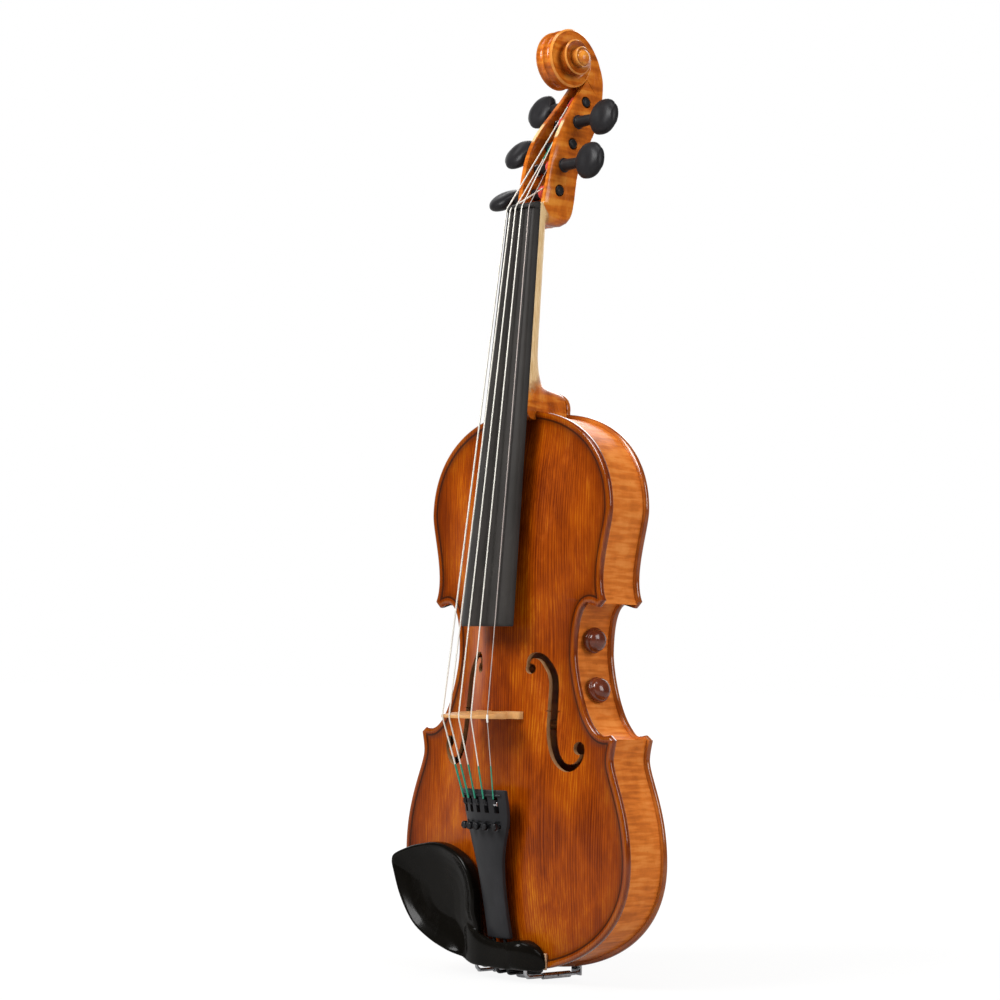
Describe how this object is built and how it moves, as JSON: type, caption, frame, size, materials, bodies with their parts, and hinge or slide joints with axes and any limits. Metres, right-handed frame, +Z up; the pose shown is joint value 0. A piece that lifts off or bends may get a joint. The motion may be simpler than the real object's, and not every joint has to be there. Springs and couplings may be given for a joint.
{
  "type": "electric violin",
  "caption": "Acoustic-electric violin with arched plates, sound holes, scroll, tuning pegs, fine tuners, chinrest, rib-mounted control knobs and an output jack in the end pin.",
  "frame": {"origin": "middle of the bounding box's bottom face, under the lower end of the body", "axes": "+Z up along the instrument to the scroll, -Y out of the decorated front with the strings, +X to the treble side with the control knobs"},
  "size_m": [0.21, 0.1114, 0.6175],
  "materials": {
    "spruce_top": "orange-brown varnish, glossy",
    "maple_body": "orange-brown varnish, glossy",
    "flamed_ribs": "varnished flamed maple, glossy",
    "inner_wood": "bare wood, matte",
    "bridge_maple": "bare maple, satin",
    "ebony": "matte black",
    "chinrest_gloss": "polished black",
    "tail_composite": "satin black",
    "tail_cord": "matte black",
    "black_metal": "black plated",
    "chrome": "polished",
    "string_metal": "wound and plain wire",
    "knob_wood": "dark varnish, glossy"
  },
  "bodies": {
    "instrument": {"top_plate": "spruce_top", "back_plate": "maple_body", "rib_lower": "flamed_ribs", "rib_middle_bass": "flamed_ribs", "rib_middle_treble": "flamed_ribs", "rib_upper_bass": "flamed_ribs", "rib_upper_treble": "flamed_ribs", "corner_block_lower_bass": "inner_wood", "corner_block_lower_treble": "inner_wood", "corner_block_upper_bass": "inner_wood", "corner_block_upper_treble": "inner_wood", "neck_block": "inner_wood", "end_block": "inner_wood", "sound_post": "inner_wood", "bass_bar": "inner_wood", "pickup": "black_metal", "neck_and_scroll": "maple_body", "fingerboard": "ebony", "nut": "ebony", "bridge": "bridge_maple", "saddle": "ebony", "tailpiece": "tail_composite", "tailgut": "tail_cord", "end_pin_jack": "chrome", "string_c": "string_metal", "string_g": "string_metal", "string_d": "string_metal", "string_a": "string_metal", "string_e": "string_metal", "chinrest": "chinrest_gloss", "clamp_hook_treble": "chrome", "clamp_hook_bass": "chrome", "volume_potentiometer": "black_metal", "tone_potentiometer": "black_metal"},
    "c_peg": {"peg_c": "ebony"},
    "a_peg": {"peg_a": "ebony"},
    "d_peg": {"peg_d": "ebony"},
    "e_peg": {"peg_e": "ebony"},
    "g_peg": {"peg_g": "ebony"},
    "c_lever": {"tuner_lever_c": "black_metal"},
    "g_lever": {"tuner_lever_g": "black_metal"},
    "d_lever": {"tuner_lever_d": "black_metal"},
    "a_lever": {"tuner_lever_a": "black_metal"},
    "e_lever": {"tuner_lever_e": "black_metal"},
    "c_screw": {"tuner_screw_c": "black_metal"},
    "g_screw": {"tuner_screw_g": "black_metal"},
    "d_screw": {"tuner_screw_d": "black_metal"},
    "a_screw": {"tuner_screw_a": "black_metal"},
    "e_screw": {"tuner_screw_e": "black_metal"},
    "c_tuner_knob": {"tuner_knob_c": "black_metal"},
    "g_tuner_knob": {"tuner_knob_g": "black_metal"},
    "d_tuner_knob": {"tuner_knob_d": "black_metal"},
    "a_tuner_knob": {"tuner_knob_a": "black_metal"},
    "e_tuner_knob": {"tuner_knob_e": "black_metal"},
    "treble_barrel": {"clamp_barrel_treble": "chrome"},
    "bass_barrel": {"clamp_barrel_bass": "chrome"},
    "treble_foot": {"clamp_foot_treble": "chrome"},
    "bass_foot": {"clamp_foot_bass": "chrome"},
    "volume": {"volume_knob": "knob_wood"},
    "tone": {"tone_knob": "knob_wood"}
  },
  "joints": [
    {"name": "c_peg_turn", "type": "hinge", "parent": "instrument", "child": "c_peg", "pos_m": [0, 0.03797, 0.57015], "axis": [1, 0, 0], "range_deg": [-180, 180]},
    {"name": "a_peg_turn", "type": "hinge", "parent": "instrument", "child": "a_peg", "pos_m": [0, 0.02836, 0.55494], "axis": [1, 0, 0], "range_deg": [-180, 180]},
    {"name": "d_peg_turn", "type": "hinge", "parent": "instrument", "child": "d_peg", "pos_m": [0, 0.02263, 0.53946], "axis": [1, 0, 0], "range_deg": [-180, 180]},
    {"name": "e_peg_turn", "type": "hinge", "parent": "instrument", "child": "e_peg", "pos_m": [0, 0.01377, 0.5237], "axis": [1, 0, 0], "range_deg": [-180, 180]},
    {"name": "g_peg_turn", "type": "hinge", "parent": "instrument", "child": "g_peg", "pos_m": [0, 0.01106, 0.50688], "axis": [1, 0, 0], "range_deg": [-180, 180]},
    {"name": "c_screw_slide", "type": "slide", "parent": "instrument", "child": "c_screw", "axis": [0, 1, 0], "range_m": [-0.00112, 0.00112]},
    {"name": "g_screw_slide", "type": "slide", "parent": "instrument", "child": "g_screw", "axis": [0, 1, 0], "range_m": [-0.00112, 0.00112]},
    {"name": "d_screw_slide", "type": "slide", "parent": "instrument", "child": "d_screw", "axis": [0, 1, 0], "range_m": [-0.00112, 0.00112]},
    {"name": "a_screw_slide", "type": "slide", "parent": "instrument", "child": "a_screw", "axis": [0, 1, 0], "range_m": [-0.00112, 0.00112]},
    {"name": "e_screw_slide", "type": "slide", "parent": "instrument", "child": "e_screw", "axis": [0, 1, 0], "range_m": [-0.00112, 0.00112]},
    {"name": "c_tuner_turn", "type": "hinge", "parent": "c_screw", "child": "c_tuner_knob", "pos_m": [-0.014, -0.035, 0.0971], "axis": [0, 1, 0], "range_deg": [-1080, 1080]},
    {"name": "g_tuner_turn", "type": "hinge", "parent": "g_screw", "child": "g_tuner_knob", "pos_m": [-0.007, -0.037, 0.0971], "axis": [0, 1, 0], "range_deg": [-1080, 1080]},
    {"name": "d_tuner_turn", "type": "hinge", "parent": "d_screw", "child": "d_tuner_knob", "pos_m": [0, -0.038, 0.0971], "axis": [0, 1, 0], "range_deg": [-1080, 1080]},
    {"name": "a_tuner_turn", "type": "hinge", "parent": "a_screw", "child": "a_tuner_knob", "pos_m": [0.007, -0.037, 0.0971], "axis": [0, 1, 0], "range_deg": [-1080, 1080]},
    {"name": "e_tuner_turn", "type": "hinge", "parent": "e_screw", "child": "e_tuner_knob", "pos_m": [0.014, -0.035, 0.0971], "axis": [0, 1, 0], "range_deg": [-1080, 1080]},
    {"name": "c_lever_tilt", "type": "hinge", "parent": "instrument", "child": "c_lever", "pos_m": [-0.014, -0.03265, 0.11258], "axis": [-1, 0, 0], "range_deg": [-5, 5]},
    {"name": "g_lever_tilt", "type": "hinge", "parent": "instrument", "child": "g_lever", "pos_m": [-0.007, -0.03471, 0.11258], "axis": [-1, 0, 0], "range_deg": [-5, 5]},
    {"name": "d_lever_tilt", "type": "hinge", "parent": "instrument", "child": "d_lever", "pos_m": [0, -0.0354, 0.11258], "axis": [-1, 0, 0], "range_deg": [-5, 5]},
    {"name": "a_lever_tilt", "type": "hinge", "parent": "instrument", "child": "a_lever", "pos_m": [0.007, -0.03471, 0.11258], "axis": [-1, 0, 0], "range_deg": [-5, 5]},
    {"name": "e_lever_tilt", "type": "hinge", "parent": "instrument", "child": "e_lever", "pos_m": [0.014, -0.03265, 0.11258], "axis": [-1, 0, 0], "range_deg": [-5, 5]},
    {"name": "treble_barrel_turn", "type": "hinge", "parent": "instrument", "child": "treble_barrel", "pos_m": [0.024, 0.0107, 0.0035], "axis": [0, 1, 0], "range_deg": [0, 1080]},
    {"name": "bass_barrel_turn", "type": "hinge", "parent": "instrument", "child": "bass_barrel", "pos_m": [-0.022, 0.0107, 0.0035], "axis": [0, 1, 0], "range_deg": [0, 1080]},
    {"name": "treble_foot_slide", "type": "slide", "parent": "instrument", "child": "treble_foot", "axis": [0, 1, 0], "range_m": [0, 0.00175]},
    {"name": "bass_foot_slide", "type": "slide", "parent": "instrument", "child": "bass_foot", "axis": [0, 1, 0], "range_m": [0, 0.00175]},
    {"name": "volume_turn", "type": "hinge", "parent": "instrument", "child": "volume", "pos_m": [0.05254, 0.00885, 0.21522], "axis": [0.9991, 0, -0.0425], "range_deg": [-150, 150]},
    {"name": "tone_turn", "type": "hinge", "parent": "instrument", "child": "tone", "pos_m": [0.05693, 0.00885, 0.18334], "axis": [0.9623, 0, 0.272], "range_deg": [-150, 150]}
  ],
  "couplings": [
    {"joint": "c_tuner_turn", "follows": "c_screw_slide", "rad_per_m": 13963},
    {"joint": "g_tuner_turn", "follows": "g_screw_slide", "rad_per_m": 13963},
    {"joint": "d_tuner_turn", "follows": "d_screw_slide", "rad_per_m": 13963},
    {"joint": "a_tuner_turn", "follows": "a_screw_slide", "rad_per_m": 13963},
    {"joint": "e_tuner_turn", "follows": "e_screw_slide", "rad_per_m": 13963},
    {"joint": "c_lever_tilt", "follows": "c_screw_slide", "rad_per_m": -64.2},
    {"joint": "g_lever_tilt", "follows": "g_screw_slide", "rad_per_m": -64.2},
    {"joint": "d_lever_tilt", "follows": "d_screw_slide", "rad_per_m": -64.2},
    {"joint": "a_lever_tilt", "follows": "a_screw_slide", "rad_per_m": -64.2},
    {"joint": "e_lever_tilt", "follows": "e_screw_slide", "rad_per_m": -64.2},
    {"joint": "treble_barrel_turn", "follows": "treble_foot_slide", "rad_per_m": 8976},
    {"joint": "bass_barrel_turn", "follows": "bass_foot_slide", "rad_per_m": 8976}
  ]
}
